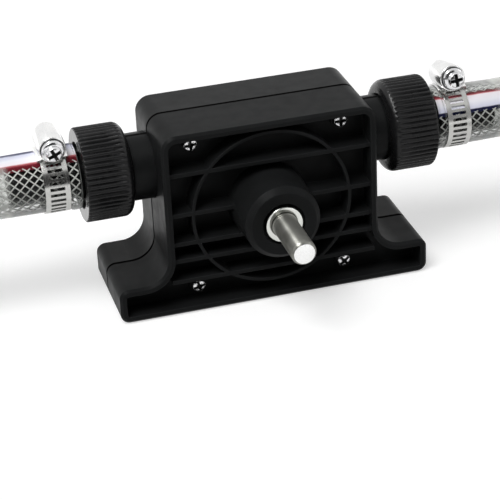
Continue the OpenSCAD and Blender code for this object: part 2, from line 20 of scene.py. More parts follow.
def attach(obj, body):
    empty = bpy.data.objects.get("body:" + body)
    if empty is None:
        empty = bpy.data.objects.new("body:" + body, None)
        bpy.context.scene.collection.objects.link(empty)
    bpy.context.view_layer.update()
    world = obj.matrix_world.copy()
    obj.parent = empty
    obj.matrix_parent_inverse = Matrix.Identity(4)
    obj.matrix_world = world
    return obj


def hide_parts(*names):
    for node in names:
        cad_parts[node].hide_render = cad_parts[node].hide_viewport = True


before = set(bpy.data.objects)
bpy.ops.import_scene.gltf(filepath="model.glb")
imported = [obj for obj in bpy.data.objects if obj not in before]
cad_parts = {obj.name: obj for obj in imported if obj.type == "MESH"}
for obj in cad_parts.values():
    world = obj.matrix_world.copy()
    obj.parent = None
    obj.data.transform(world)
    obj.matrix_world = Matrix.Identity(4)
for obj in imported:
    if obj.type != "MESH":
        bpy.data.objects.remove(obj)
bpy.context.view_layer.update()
print("nodes in the frame:", len(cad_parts))

# %% [markdown]
# The photograph was taken from in front, a little to the left and from above,
# with a long lens. Its place was solved from the edges of the body and the
# base, so the camera is written as a point and three directions.

# %% The camera
camera_lens = bpy.data.cameras.new("photo_camera")
camera_lens.lens, camera_lens.sensor_width = 140.8, 36
camera_lens.clip_start = 0.01
camera = bpy.data.objects.new("photo_camera", camera_lens)
bpy.context.scene.collection.objects.link(camera)
to_right = Vector((0.95985, -0.27702, -0.04409))
to_top = Vector((0.16772, 0.44079, 0.88180))
ahead = Vector((0.22484, 0.85379, -0.46956))
turned = Matrix((to_right, to_top, -ahead)).transposed().to_4x4()
camera.matrix_world = Matrix.Translation((-0.14936, -0.55504, 0.31333)) @ turned
bpy.context.scene.camera = camera

# %% [markdown]
# A hose is a fixed length of something springy. It leaves its clamp level and
# droops to the floor under its own weight. The rest of its metre, which the
# photograph cuts off, lies in a coil just outside the view. The stations below
# are the ones that the CAD solid follows, seen from the front.

# %% The route of a hose
HOSE_R, BORE_R, PORT_Z = 0.00975, 0.0070, 0.0454
STATIONS = [(60, 45.4), (70, 45.4), (81, 45.4), (92, 45.4), (105.9, 44.2),
            (119.4, 40.8), (132.1, 35.2), (143.7, 27.6), (155.4, 19.9),
            (168.1, 14.3), (181.6, 10.9), (195.5, 9.75), (199.5, 9.75)]
COIL_X, COIL_R, COIL_DRAW, COIL_SWEEP = 0.2155, 0.112, 0.023, 484.2


def free_part(side, cuts=5):
    """Smooth points through the stations, from the nut to the floor."""
    known = [np.array((side * x / 1000, 0, z / 1000)) for x, z in STATIONS]
    known = [2 * known[0] - known[1], *known, (side * COIL_X, 0, HOSE_R)]
    made = []
    for a, b, c, d in zip(known, known[1:], known[2:], known[3:]):
        for t in np.arange(cuts) / cuts:
            made.append(0.5 * (2 * b + (c - a) * t + (2 * a - 5 * b + 4 * c - d)
                               * t ** 2 + (3 * b - a - 3 * c + d) * t ** 3))
    return made + [known[-2]]


def coil_part(side, step=4.0):
    """Points of the coil, wound in a hose and a bit each turn, with a straight end."""
    floor_x = STATIONS[-1][0] / 1000
    made = [(side * COIL_X * (1 - t) + side * floor_x * t, 0, HOSE_R)
            for t in (0.75, 0.5, 0.25)]
    for a in [*np.arange(0, COIL_SWEEP, step), COIL_SWEEP]:
        r, turn = COIL_R - COIL_DRAW * a / 360, math.radians(a)
        made.append((side * (COIL_X + r * math.sin(turn)),
                     -COIL_R + r * math.cos(turn), HOSE_R))
    last = np.array(made[-1]) - made[-2]
    made += [made[-1] + last / np.linalg.norm(last) * t for t in (0.01, 0.02)]
    return made


def hose_course(side):
    """The line, the way along it, and two directions square to it."""
    line = np.array(free_part(side) + coil_part(side))
    along = np.gradient(line, axis=0)
    along /= np.linalg.norm(along, axis=1)[:, None]
    up = np.array((0.0, 0.0, 1.0)) - along * along[:, 2:]
    up /= np.linalg.norm(up, axis=1)[:, None]
    inward = side * np.cross(along, up)
    gone = np.r_[0, np.cumsum(np.linalg.norm(np.diff(line, axis=0), axis=1))]
    return {"line": line, "up": up, "inward": inward, "gone": gone}


COURSES = {"inlet": hose_course(-1), "outlet": hose_course(1)}
for name, course in COURSES.items():
    print(name, "hose is", round(course["gone"][-1], 4), "m long")

# %% [markdown]
# The hose isn't a plain tube. The clamp squeezes it on the barbed tail, and
# its end bulges out between the clamp and the nut. The inlet hose is pushed on
# a millimetre further than the other and bulges a little more. A table of
# radius against length says so, and one function then finds any point from its
# length, turn and radius.

# %% The swelling of a hose
CLAMP_AT = {"inlet": 0.0067, "outlet": 0.0072}
HOSE_START = {"inlet": -0.0012, "outlet": 0.0}
BULGE_R = {"inlet": 10.62, "outlet": 10.42}
SQUEEZED_R = 9.78
HOSE_END = COURSES["inlet"]["gone"][-1]


def outer_radius(name, gone):
    """The hose's outer radius at each length, from a table of both in millimetres."""
    start, clamp, end = (v * 1000 for v in (HOSE_START[name], CLAMP_AT[name], HOSE_END))
    bulge, plain = BULGE_R[name], HOSE_R * 1000
    table = [(start, 9.95), (start + 0.3, bulge - 0.17), (start + 0.9, bulge),
             (clamp - 5.0, bulge - 0.04), (clamp - 4.4, 10.1), (clamp - 4.0, SQUEEZED_R),
             (clamp + 4.0, SQUEEZED_R), (clamp + 4.6, 9.9), (clamp + 7, 9.92),
             (21, 9.82), (28, plain), (end, plain)]
    at, radius = np.array(table).T / 1000
    return np.interp(gone, at, radius)


def on_hose(name, gone, turn, radius):
    """Points at a length, a turn from the top towards the coil, and a radius."""
    course = COURSES[name]
    place, up, inward = (
        np.stack([np.interp(gone, course["gone"], course[key][:, k])
                  for k in range(3)], axis=-1) for key in ("line", "up", "inward"))
    # A length below zero lies nearer to the pump than the first station.
    place[..., 0] += np.minimum(gone, 0) * (-1 if name == "inlet" else 1)
    radius, turn = radius[..., None], turn[..., None]
    return place + radius * (np.cos(turn) * up + np.sin(turn) * inward)


def sheet_of(name, points, across, along, closed=(False, False)):
    """A mesh over a grid of points, with its own UV map of across and along."""
    rows, columns = points.shape[:2]
    i = np.arange(rows if closed[0] else rows - 1)[:, None]
    j = np.arange(columns if closed[1] else columns - 1)[None]
    i2, j2 = (i + 1) % rows, (j + 1) % columns
    faces = np.stack([i * columns + j, i * columns + j2,
                      i2 * columns + j2, i2 * columns + j], axis=-1).reshape(-1, 4)
    mesh = bpy.data.meshes.new(name)
    mesh.from_pydata(points.reshape(-1, 3).tolist(), [], faces.tolist())
    layer = mesh.uv_layers.new(name="UVMap")
    flat = np.stack([across, along], axis=-1).reshape(-1, 2)
    layer.data.foreach_set("uv", flat[faces.ravel()].ravel())
    mesh.polygons.foreach_set("use_smooth", [True] * len(faces))
    made = bpy.data.objects.new(name, mesh)
    bpy.context.scene.collection.objects.link(made)
    return made


def face_outwards(piece):
    """Turns every face of a closed piece outwards."""
    shape = bmesh.new()
    shape.from_mesh(piece.data)
    bmesh.ops.recalc_face_normals(shape, faces=shape.faces)
    shape.to_mesh(piece.data)
    shape.free()


# %% [markdown]
# The clear wall is one closed skin: out along the outside, over the cut end,
# and back along the bore. Its sections are close together near the clamp,
# where the radius changes, and further apart along the coil.

# %% The clear wall of a hose
SIDES = 40
STEPS = np.r_[np.arange(0, 0.0405, 0.00045), np.linspace(0.041, HOSE_END, 190)]


def hose_wall(name):
    """The clear tube, cut square at both ends and rounded outside at the nut's."""
    steps = np.r_[np.arange(HOSE_START[name], -0.0001, 0.0003), STEPS]
    out = outer_radius(name, steps)
    gone = np.r_[steps, steps[::-1]]
    radius = np.r_[out, np.full(len(steps), BORE_R)]
    turn = np.linspace(0, math.tau, SIDES, endpoint=False)
    gone_grid, turn_grid = np.meshgrid(gone, turn, indexing="ij")
    radius_grid = np.repeat(radius[:, None], SIDES, axis=1)
    points = on_hose(name, gone_grid, turn_grid, radius_grid)
    made = sheet_of(name + "_hose_wall", points, turn_grid / math.tau, gone_grid,
                    closed=(True, True))
    face_outwards(made)
    return made


# %% [markdown]
# Inside the wall lies a braid of thin white yarn: twenty strands wind one way
# and twenty the other, at 41 degrees to the hose. Each strand is a narrow
# strip, crowned along its middle, so that a low count of faces still catches
# the light as yarn does. One layer lies a hair above the other. Clear plastic
# bends light, so the yarn looks nearer to the surface than it is, and it is
# laid where it looks to be.

# %% The braid of a hose
STRANDS, STRAND_ANGLE, STRAND_HALF = 20, math.radians(40.8), 0.00021
BRAID_R, STRAND_CROWN, END_GAP = 0.0087, 0.00012, 0.0002
WAYS_AND_DEPTHS = ((1, 0.00072), (-1, 0.00060))


def hose_braid(name):
    """Both layers of yarn, as one mesh of narrow crowned strips."""
    first = HOSE_START[name]
    at = np.r_[np.arange(first + 0.0006, 0.04, 0.0014), np.arange(0.04, HOSE_END, 0.0031)]
    at[-1] = HOSE_END - END_GAP
    rows = []
    for way, depth in WAYS_AND_DEPTHS:
        for k in range(STRANDS):
            turn = way * at * math.tan(STRAND_ANGLE) / BRAID_R
            turn = turn + math.tau * (k + (way > 0) / 2) / STRANDS
            for edge, rise in ((-1, 0), (0, STRAND_CROWN), (1, 0)):
                shift = edge * STRAND_HALF
                gone = at - way * shift * math.sin(STRAND_ANGLE)
                gone = np.clip(gone, first, HOSE_END)
                turned_by = shift * math.cos(STRAND_ANGLE) / BRAID_R
                radius = outer_radius(name, gone) - depth + rise
                rows.append(on_hose(name, gone, turn + turned_by, radius))
    strips = np.array(rows).reshape(2 * STRANDS, 3, len(at), 3)
    count, across, along = strips.shape[:3]
    corner = (np.arange(count) * across * along)[:, None, None]
    i = np.arange(across - 1)[None, :, None] * along
    j = np.arange(along - 1)[None, None]
    corner = corner + i + j
    faces = np.stack([corner, corner + 1, corner + along + 1, corner + along], -1)
    mesh = bpy.data.meshes.new(name + "_hose_braid")
    mesh.from_pydata(strips.reshape(-1, 3).tolist(), [], faces.reshape(-1, 4).tolist())
    mesh.polygons.foreach_set("use_smooth", [True] * len(mesh.polygons))
    made = bpy.data.objects.new(name + "_hose_braid", mesh)
    bpy.context.scene.collection.objects.link(made)
    return made


# %% [markdown]
# A broad stripe runs along each hose: white with a blue and a red edge. Its
# middle lies on the wall, and its edges dip under the yarn, so the strands bite
# into the coloured lines. Only the blue edge on the inlet hose stays on top.
# The strip has fine columns, because a coarse one would cut under the wall
# between them. The inlet hose carries it above, and the outlet hose in front.

# %% The stripe of a hose
STRIPE_COLUMNS = np.r_[np.linspace(0, 0.2, 10), np.linspace(0.26, 0.88, 10), 0.94, 1]
STRIPE_SHARES = (0, 0.2, 0.85, 1)
STRIPE_TURNS = {"inlet": (-36, 2, 27, 38), "outlet": (67, 58, 30, 18)}
STRIPE_DIPS = {"inlet": (0.0, 1.0), "outlet": (1.0, 1.0)}
STRIPE_LIFT, DIP_DEPTH, DIP_SHARE = 0.00002, 0.0009, 0.17


def hose_stripe(name):
    """A crowned strip whose map runs from its blue edge to its red edge."""
    first = HOSE_START[name] + 0.0003
    gone = np.r_[np.arange(first, 0.04, 0.0009), np.arange(0.04, HOSE_END, 0.005)]
    gone[-1] = HOSE_END - END_GAP
    gone_grid, share_grid = np.meshgrid(gone, STRIPE_COLUMNS, indexing="ij")
    turn = np.radians(np.interp(share_grid, STRIPE_SHARES, STRIPE_TURNS[name]))
    blue_dip, red_dip = STRIPE_DIPS[name]
    sunk = np.maximum(blue_dip * np.clip(1 - share_grid / DIP_SHARE, 0, 1),
                      red_dip * np.clip(1 - (1 - share_grid) / DIP_SHARE, 0, 1))
    radius = outer_radius(name, gone_grid) + STRIPE_LIFT - DIP_DEPTH * sunk
    points = on_hose(name, gone_grid, turn, radius)
    return sheet_of(name + "_hose_stripe", points, share_grid, gone_grid)


# %% [markdown]
# A hose is three pieces that move with its union. The wall takes the place of
# both CAD solids, and the braid and the stripe go with it.

# %% Making both hoses
WALLS, BRAIDS, STRIPES = {}, {}, {}
for name, side in (("inlet", -1), ("outlet", 1)):
    WALLS[name] = hose_wall(name)
    BRAIDS[name] = hose_braid(name)
    STRIPES[name] = hose_stripe(name)
    for piece in (WALLS[name], BRAIDS[name], STRIPES[name]):
        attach(piece, name + "_union")
    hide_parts(name + "_hose", name + "_coil")
    print(name, "braid has", len(BRAIDS[name].data.polygons), "faces")

# %% [markdown]
# A screw is turned, so its section is drawn once and spun round its axis. The
# cross recess is then pressed in: planes cut the head along the sides of the
# cross, and the faces inside the cross are pushed down and drawn together.
# The recess gets a darker finish of its own, because no light reaches it.

# %% Screws with a cross recess
HEAD_DEPTH, CROSS_TAPER = 0.9, 0.62


def spun(section, steps=40, sweep=math.tau):
    """A shape turned about the y axis from (radius, y) points in mm."""
    shape = bmesh.new()
    corners = [shape.verts.new((r / 1000, y / 1000, 0)) for r, y in section]
    edges = [shape.edges.new(pair) for pair in zip(corners, corners[1:])]
    full = sweep == math.tau
    bmesh.ops.spin(shape, geom=corners + edges, cent=(0, 0, 0), axis=(0, 1, 0),
                   angle=sweep, steps=steps, use_merge=full)
    bmesh.ops.remove_doubles(shape, verts=shape.verts, dist=1e-6)
    if not full:
        bmesh.ops.holes_fill(shape, edges=[e for e in shape.edges if e.is_boundary])
        half = Matrix.Rotation(-sweep / 2, 3, "Y")
        bmesh.ops.rotate(shape, verts=shape.verts, cent=(0, 0, 0), matrix=half)
    bmesh.ops.recalc_face_normals(shape, faces=shape.faces)
    return shape


def gathered(shapes):
    """Several shapes as one, each still a closed body of its own."""
    whole = bmesh.new()
    for shape in shapes:
        step = bpy.data.meshes.new("step")
        shape.to_mesh(step)
        whole.from_mesh(step)
        shape.free()
        bpy.data.meshes.remove(step)
    return whole


def press_cross(shape, face_y, arm, width, heart, depth, turn):
    """Pushes a cross with a round heart into a head facing -y, with sizes in mm."""
    spin_back = Matrix.Rotation(turn, 3, "Y")
    bmesh.ops.rotate(shape, verts=shape.verts, cent=(0, 0, 0), matrix=spin_back)
    arm, width, heart, depth = (v / 1000 for v in (arm, width, heart, depth))
    limit = (face_y + HEAD_DEPTH) / 1000
    for normal in ((1, 0, 0), (0, 0, 1)):
        for offset in (-arm, -width, width, arm):
            near = [f for f in shape.faces if f.calc_center_median().y < limit]
            geom = {g for f in near for g in (f, *f.edges, *f.verts)}
            bmesh.ops.bisect_plane(shape, geom=list(geom), dist=1e-7,
                                   plane_co=Vector(normal) * offset,
                                   plane_no=normal)
    inside = []
    for f in shape.faces:
        c = f.calc_center_median()
        x, z = abs(c.x), abs(c.z)
        in_cross = (x < width and z < arm) or (z < width and x < arm)
        if c.y < limit and (in_cross or math.hypot(x, z) < heart):
            inside.append(f)
    pushed = bmesh.ops.extrude_face_region(shape, geom=inside)["geom"]
    bmesh.ops.delete(shape, geom=inside, context="FACES_ONLY")
    corners = [g for g in pushed if isinstance(g, bmesh.types.BMVert)]
    bottom = {f for f in pushed if isinstance(f, bmesh.types.BMFace)}
    for v in corners:
        v.co.y = face_y / 1000 + depth
        v.co.x, v.co.z = v.co.x * CROSS_TAPER, v.co.z * CROSS_TAPER
    for f in bottom | {f for v in corners for f in v.link_faces}:
        f.material_index = 1
    bmesh.ops.rotate(shape, verts=shape.verts, cent=(0, 0, 0),
                     matrix=spin_back.inverted())
    return shape


def keep(shape, name, move=None, smooth=35):
    """Turns a bmesh into an object, moved if asked, shaded by its angles."""
    if move is not None:
        bmesh.ops.transform(shape, matrix=move, verts=shape.verts)
    mesh = bpy.data.meshes.new(name)
    shape.to_mesh(mesh)
    shape.free()
    mesh.shade_smooth()
    mesh.set_sharp_from_angle(angle=math.radians(smooth))
    made = bpy.data.objects.new(name, mesh)
    bpy.context.scene.collection.objects.link(made)
    return made


# %% The four housing screws
SCREW_AT = [(-24.7, 6.4, 0.25), (24.7, 6.4, 0.7), (-24.7, 56.8, 0.1), (24.7, 56.8, 0.0)]
HEAD_Y, SEAT_Y = -15.4, -13.4
every_screw = []
for x, z, turn in SCREW_AT:
    one = spun([(0, HEAD_Y), (0.9, HEAD_Y), (1.42, HEAD_Y + 0.02), (1.86, HEAD_Y + 0.14),
                (2.14, HEAD_Y + 0.42), (2.28, HEAD_Y + 0.85), (2.34, SEAT_Y),
                (1.5, SEAT_Y), (1.5, 8.0), (1.1, 8.6), (0, 8.6)])
    press_cross(one, HEAD_Y, 2.02, 0.46, 1.14, 1.5, turn)
    bmesh.ops.translate(one, verts=one.verts, vec=(x / 1000, 0, z / 1000))
    every_screw.append(one)
HOUSING_SCREWS = keep(gathered(every_screw), "housing_screw_set")
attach(HOUSING_SCREWS, "housing")
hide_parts("housing_screws")
print("housing screws:", len(HOUSING_SCREWS.data.polygons), "faces")

# %% [markdown]
# A clamp screw is a worm with a collar in the barrel's mouth and a small round
# head. The barrel hides its thread, so the section only zigzags, which makes
# plain rings in place of a helix. The whole screw is made on the y axis and
# then carried to its clamp.

# %% The two clamp screws
WORM_HEIGHT, WORM_FACE = 13.75, -9.7
CLAMPS = {"inlet": (-66.7, math.radians(4)), "outlet": (67.2, math.radians(-10))}


def to_clamp(name):
    """The move from the drawing place to the clamp on its hose."""
    x, turn = CLAMPS[name]
    return (Matrix.Translation((x / 1000, 0, PORT_Z)) @ Matrix.Rotation(turn, 4, "X")
            @ Matrix.Translation((0, 0, WORM_HEIGHT / 1000)))


CLAMP_SCREWS = {}
for name, cross_turn in (("inlet", 0.42), ("outlet", 0.12)):
    worm = [(r, y) for y in np.arange(-5.2, 3.2, 1.4)
            for r, y in ((2.45, y), (3.0, y + 0.45), (3.0, y + 0.75), (2.45, y + 1.2))]
    shape = spun([(0, WORM_FACE), (0.9, WORM_FACE), (1.75, -9.62), (2.2, -9.42), (2.45, -9.0),
                  (2.5, -8.4), (2.5, -8.0), (3.1, -7.9), (3.5, -7.6), (3.62, -7.2),
                  (3.62, -5.5), (3.0, -5.4), *worm, (2.45, 3.6), (0, 3.6)])
    press_cross(shape, WORM_FACE, 2.15, 0.55, 0.9, 1.7, cross_turn)
    made = keep(shape, name + "_worm_and_head", to_clamp(name))
    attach(made, name + "_worm")
    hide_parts(name + "_clamp_screw")
    CLAMP_SCREWS[name] = made
    print(name, "clamp screw:", len(made.data.polygons), "faces")

# %% [markdown]
# The clamp's band is a strip of steel with a row of slots that the worm drives
# in. The strip is spun round the hose, two steps to a slot and two to a bar,
# the slots are taken out, and the strip is thickened inwards.

# %% The two clamp bands
HOSE_WAY = {"outlet": Matrix(((0, 1, 0), (0, 0, 1), (1, 0, 0))).to_4x4(),
            "inlet": Matrix(((0, -1, 0), (0, 0, -1), (1, 0, 0))).to_4x4()}
BAND_R, BAND_T, BAND_HALF = 10.4, 0.6, 4.0
SLOTS, SLOT_HALF = 33, 2.35


def to_hose(name, x=0.0, turn=0.0):
    """The move from the y axis to the hose's level axis, pointing outwards."""
    return (Matrix.Translation((x / 1000, 0, PORT_Z)) @ Matrix.Rotation(turn, 4, "X")
            @ HOSE_WAY[name])


def slotted_band():
    """A spun strip with slots, thickened inwards."""
    steps = 4 * SLOTS
    rings = (-BAND_HALF, -SLOT_HALF, SLOT_HALF, BAND_HALF)
    shape = spun([(BAND_R, y) for y in rings], steps)
    taken = []
    for f in shape.faces:
        c = f.calc_center_median()
        step = int(math.atan2(c.z, c.x) / math.tau * steps % steps)
        if abs(c.y) < SLOT_HALF / 1000 and step % 4 < 2:
            taken.append(f)
    bmesh.ops.delete(shape, geom=taken, context="FACES_ONLY")
    bare = [e for e in shape.edges if not e.link_faces]
    bmesh.ops.delete(shape, geom=bare, context="EDGES")
    bmesh.ops.solidify(shape, geom=shape.faces[:], thickness=BAND_T / 1000)
    return shape


BANDS = {}
for name, (x, turn) in CLAMPS.items():
    BANDS[name] = keep(slotted_band(), name + "_slotted_band", to_hose(name, x, turn), 25)
    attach(BANDS[name], name + "_union")
    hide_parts(name + "_clamp_band")
    print(name, "band:", len(BANDS[name].data.polygons), "faces")

# %% [markdown]
# The clamp's housing is a barrel pressed from sheet, with a rolled lip and a
# domed end, on a saddle that grips the band from both sides. The barrel is
# spun, and its underside is pushed up until it rests on the band. The saddle
# is a part turn of its own section round the hose.

# %% The two clamp housings
BARREL_R, BARREL_BORE, BORE_END = 4.45, 3.8, 3.9
DOME_Y, SEAT_R = 4.0, 10.52


def barrel():
    """A lipped and domed barrel that rests on the band below it."""
    lip = [(0, BORE_END), (BARREL_BORE, BORE_END), (BARREL_BORE, -5.6), (3.88, -5.86),
           (4.1, -6.0), (4.32, -5.9), (BARREL_R, -5.6), (BARREL_R, -1.0), (BARREL_R, DOME_Y)]
    dome = [(BARREL_R * math.cos(t), DOME_Y + BARREL_R * math.sin(t))
            for t in np.radians(np.arange(15, 91, 15))]
    shape = spun(lip + dome, 56)
    past_bore = (BORE_END + 0.05) / 1000
    for v in shape.verts:
        outside = math.hypot(v.co.x, v.co.z) > (BARREL_BORE + 0.1) / 1000 or v.co.y > past_bore
        least = (SEAT_R if outside else SEAT_R + 0.15) / 1000
        height = v.co.z + WORM_HEIGHT / 1000
        if 0 < height and math.hypot(v.co.y, height) < least:
            v.co.z = math.sqrt(least ** 2 - v.co.y ** 2) - WORM_HEIGHT / 1000
    for f in shape.faces:
        c = f.calc_center_median()
        if math.hypot(c.x, c.z) < (BARREL_BORE - 0.01) / 1000 and c.y < past_bore:
            f.material_index = 1
    return shape


def saddle():
    """The curved plate under the barrel, with a lip down each side."""
    inner, outer = 9.85, 11.35
    groove_r, groove_half = 10.47, 4.07
    section = [(inner, -4.95), (outer - 0.3, -4.95), (outer - 0.08, -4.86),
               (outer, -4.65), (outer, 4.65), (outer - 0.08, 4.86),
               (outer - 0.3, 4.95), (inner, 4.95), (inner, groove_half),
               (groove_r, groove_half), (groove_r, -groove_half), (inner, -groove_half),
               (inner, -4.95)]
    shape = spun(section, 14, math.radians(50))
    onto = (Matrix.Translation((0, 0, -WORM_HEIGHT / 1000)) @ HOSE_WAY["outlet"])
    bmesh.ops.transform(shape, matrix=onto, verts=shape.verts)
    return shape


CLAMP_HOUSINGS = {}
for name in CLAMPS:
    made = keep(gathered([barrel(), saddle()]), name + "_barrel_and_saddle", to_clamp(name))
    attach(made, name + "_union")
    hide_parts(name + "_clamp_housing")
    CLAMP_HOUSINGS[name] = made
    print(name, "clamp housing:", len(made.data.polygons), "faces")

# %% [markdown]
# The union nut has a rounded shoulder on the pump's side and a round recess in
# its end. Its section is spun in steps so fine that six of them make one
# knurl, and the columns between the ridges are pressed in. The grooves fade in
# on the last of the smooth shoulder and out again at the rounded end, as they
# do on a moulded nut.

# %% The two union nuts
KNURLS, GROOVE_D, NUT_R = 54, 0.7, 15.24
SHOULDER_R, SHOULDER_Y, FADE_IN = 11.7, 45.6, 0.9
FACE_Y, COLLAR_Y, RECESS_R = 58.1, 54.7, 10.8


def knurled_nut():
    """The nut about the y axis, its end face towards +y."""
    shoulder = [(SHOULDER_R + (NUT_R - SHOULDER_R) * math.sin(t), SHOULDER_Y - 3 * math.cos(t))
                for t in np.radians(np.arange(0, 91, 15))]
    shape = spun([(RECESS_R, 43.0), (11.2, 42.6), *shoulder, (NUT_R, 49.6), (NUT_R, 53.6),
                  (NUT_R, 57.5), (15.1, 57.9), (14.8, FACE_Y), (14.5, FACE_Y), (11.1, FACE_Y),
                  (10.9, FACE_Y), (RECESS_R, 58.0), (RECESS_R, 56.7), (7.9, 56.7),
                  (7.9, COLLAR_Y), (RECESS_R, COLLAR_Y), (RECESS_R, 43.0)], steps=6 * KNURLS)
    for v in shape.verts:
        r, along = math.hypot(v.co.x, v.co.z) * 1000, v.co.y * 1000
        if r < SHOULDER_R + 0.05:
            continue
        phase = math.atan2(v.co.z, v.co.x) / math.tau * KNURLS
        groove = (0.5 + 0.5 * math.cos(math.tau * phase)) ** 1.6
        run_out = min(1.0, max(0.0, (along - SHOULDER_Y + FADE_IN) / FADE_IN))
        if along > FACE_Y - 0.5:
            run_out = max(0.0, (FACE_Y - along) / 0.6)
        share = 1 - GROOVE_D * groove * run_out / r
        v.co.x, v.co.z = v.co.x * share, v.co.z * share
    for f in shape.faces:
        c = f.calc_center_median()
        r, along = math.hypot(c.x, c.z) * 1000, c.y * 1000
        if along > FACE_Y - 0.05 and r > RECESS_R + 0.05:
            f.material_index = 1
        elif along > COLLAR_Y - 0.1 and r < RECESS_R + 0.02:
            f.material_index = 2
    return shape


NUTS = {}
for name in CLAMPS:
    NUTS[name] = keep(knurled_nut(), name + "_knurled_nut", to_hose(name), 50)
    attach(NUTS[name], name + "_ring")
    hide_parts(name + "_nut")
    print(name, "nut:", len(NUTS[name].data.polygons), "faces")

# %% [markdown]
# The shaft was ground in a lathe. Its grinding lines run round it, so light
# from above is spread along it as a streak, and the finish needs a map of turn
# and length to know which way they run. The bush round it is plain and bright.

# %% The shaft and its front bush
SHAFT_END, AXIS_Z = -52.9, 0.0325


def wrap_map(shape):
    """A map of turn and length on a shape turned about the y axis."""
    layer = shape.loops.layers.uv.new("UVMap")
    for f in shape.faces:
        c = f.calc_center_median()
        about = math.atan2(c.z, c.x)
        for corner in f.loops:
            co = corner.vert.co
            off = (math.atan2(co.z, co.x) - about + math.pi) % math.tau - math.pi
            corner[layer].uv = ((about + off) / math.tau, co.y)
    return shape


to_axis = Matrix.Translation((0, 0, AXIS_Z))
shaft_shape = wrap_map(spun([(0, SHAFT_END), (3.2, SHAFT_END), (3.35, -52.84), (3.9, -52.2),
                             (4.0, -51.95), (4.0, -45.0), (4.0, -38.0), (4.0, -33.3),
                             (4.25, -33.2), (4.25, -32.6), (3.5, -32.4), (3.5, 14.0),
                             (3.0, 14.45), (0, 14.45)], 64))
for f in shaft_shape.faces:
    if f.calc_center_median().y < (SHAFT_END + 0.05) / 1000:
        f.material_index = 1
SHAFT = keep(shaft_shape, "turned_shaft", to_axis)
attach(SHAFT, "rotor")
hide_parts("drive_shaft")
BUSH = keep(spun([(3.54, -31.9), (4.3, -32.3), (5.5, -32.3), (5.9, -32.18),
                  (6.1, -31.85), (6.1, -17.3), (3.54, -17.3), (3.54, -31.9)], 64),
            "turned_front_bush", to_axis)
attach(BUSH, "housing")
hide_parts("front_bush")
print("shaft and bush:", len(SHAFT.data.polygons), len(BUSH.data.polygons), "faces")

# %% [markdown]
# Every finish below is a small tree of nodes. It reads the piece's own
# coordinates or its own map, so the pattern stays on the piece in any pose.
# These helpers save the repeated steps of adding a node, setting it and
# linking it.

# %% Helpers for finishes


def finish_tree(name):
    """A new material, and its nodes, links and main shader."""
    made = bpy.data.materials.new(name)
    made.use_nodes = True
    tree = made.node_tree
    return made, tree.nodes, tree.links, tree.nodes["Principled BSDF"]


def feed(links, value, socket):
    """Gives a socket a link from another one, or else a plain value."""
    if isinstance(value, bpy.types.NodeSocket):
        links.new(value, socket)
    else:
        socket.default_value = value


def maths(nodes, links, operation, *values):
    """The answer of a Math node to sockets and plain numbers."""
    made = nodes.new("ShaderNodeMath")
    made.operation = operation
    for socket, value in zip(made.inputs, values):
        feed(links, value, socket)
    return made.outputs["Value"]


def mixed(nodes, links, fac, first, second, kind="RGBA"):
    """A blend from first to second, of two colours or, with FLOAT, two numbers."""
    mix = nodes.new("ShaderNodeMix")
    mix.data_type = kind
    a, b, out = {"RGBA": (6, 7, 2), "FLOAT": (2, 3, 0)}[kind]
    links.new(fac, mix.inputs["Factor"])
    feed(links, first, mix.inputs[a])
    feed(links, second, mix.inputs[b])
    return mix.outputs[out]


def cloud(nodes, links, scale, detail=3, stretch=None):
    """A noise pattern on the piece's own coordinates, stretched if asked."""
    place = nodes.new("ShaderNodeTexCoord")
    pattern = nodes.new("ShaderNodeTexNoise")
    pattern.inputs["Scale"].default_value = scale
    pattern.inputs["Detail"].default_value = detail
    source = place.outputs["Object"]
    if stretch:
        mapping = nodes.new("ShaderNodeMapping")
        mapping.inputs["Scale"].default_value = stretch
        links.new(source, mapping.inputs["Vector"])
        source = mapping.outputs["Vector"]
    links.new(source, pattern.inputs["Vector"])
    return pattern.outputs["Fac"]


def between(nodes, links, fac, low, high, start=0.3, stop=0.7):
    """A value that runs from low to high as fac runs from start to stop."""
    span = nodes.new("ShaderNodeMapRange")
    for key, value in zip(("From Min", "From Max", "To Min", "To Max"),
                          (start, stop, low, high)):
        span.inputs[key].default_value = value
    links.new(fac, span.inputs["Value"])
    return span.outputs["Result"]


def tints(nodes, links, fac, *stops):
    """A colour ramp from (position, colour) pairs."""
    ramp = nodes.new("ShaderNodeValToRGB")
    while len(ramp.color_ramp.elements) < len(stops):
        ramp.color_ramp.elements.new(0.5)
    for element, (position, colour) in zip(ramp.color_ramp.elements, stops):
        element.position, element.color = position, (*colour, 1)
    links.new(fac, ramp.inputs["Fac"])
    return ramp.outputs["Color"]


def soft_normal(nodes, links, shader, radius, fac, strength, depth):
    """Rounds the edges to the light, and lays a fine bump on the surface."""
    round_edges = nodes.new("ShaderNodeBevel")
    round_edges.samples = 6
    round_edges.inputs["Radius"].default_value = radius
    bump = nodes.new("ShaderNodeBump")
    bump.inputs["Strength"].default_value = strength
    bump.inputs["Distance"].default_value = depth
    links.new(fac, bump.inputs["Height"])
    links.new(round_edges.outputs["Normal"], bump.inputs["Normal"])
    links.new(bump.outputs["Normal"], shader.inputs["Normal"])
    return round_edges.outputs["Normal"]


def edge_light_mask(nodes, links, rounded):
    """How far the rounded normal leans from the real one: high on edges, the mask of the
    painted edge highlight.
    """
    facing = nodes.new("ShaderNodeNewGeometry")
    dot = nodes.new("ShaderNodeVectorMath")
    dot.operation = "DOT_PRODUCT"
    links.new(rounded, dot.inputs[0])
    links.new(facing.outputs["Normal"], dot.inputs[1])
    return between(nodes, links, dot.outputs["Value"], 1, 0, 0.80, 0.995)
